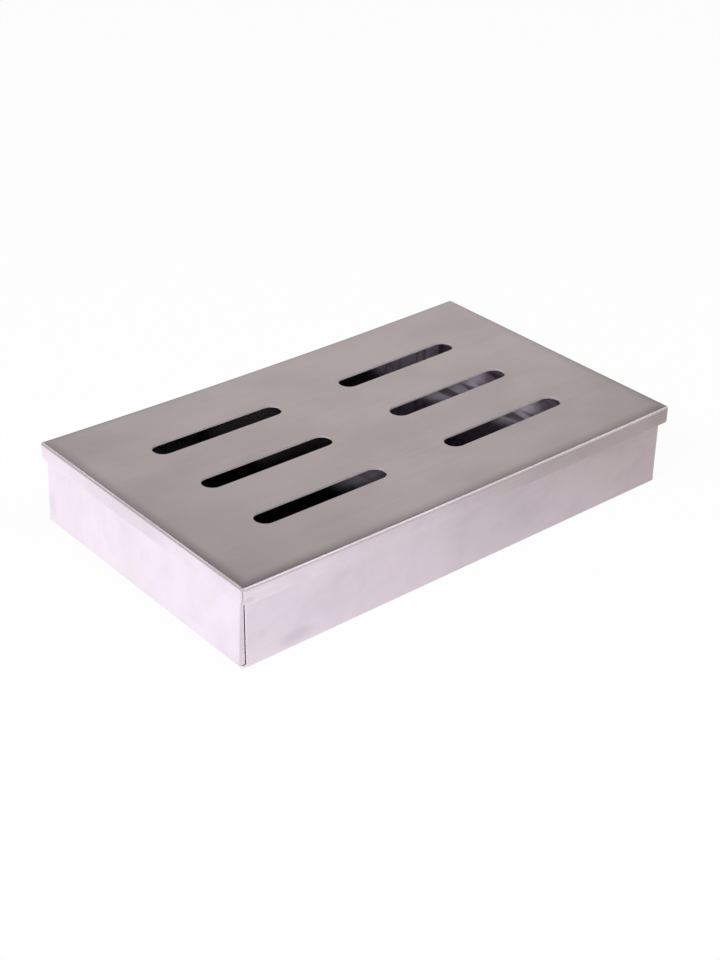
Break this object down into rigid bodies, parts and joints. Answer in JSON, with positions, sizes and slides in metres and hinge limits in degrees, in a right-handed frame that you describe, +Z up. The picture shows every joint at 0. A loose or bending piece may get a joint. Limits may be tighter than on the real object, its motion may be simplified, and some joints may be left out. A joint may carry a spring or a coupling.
{
  "type": "smoker box",
  "caption": "Flat rectangular stainless steel smoker box for wood chips: a folded open tray and a lift-off lid with round-ended smoke slots.",
  "frame": {"origin": "middle of the tray's underside, on the surface that the box stands on", "axes": "+X along the long side, +Y along the short side, +Z up"},
  "size_m": [0.2131, 0.1313, 0.034],
  "materials": {
    "tray_steel": "mill-finish stainless sheet, faintly smudged",
    "lid_steel": "mill-finish stainless sheet, faintly smudged"
  },
  "bodies": {
    "tray": {"tray": "tray_steel"},
    "lid": {"lid": "lid_steel"}
  },
  "joints": [
    {"name": "lid_lift", "type": "slide", "parent": "tray", "child": "lid", "axis": [0, 0, 1], "range_m": [0, 0.06]}
  ]
}
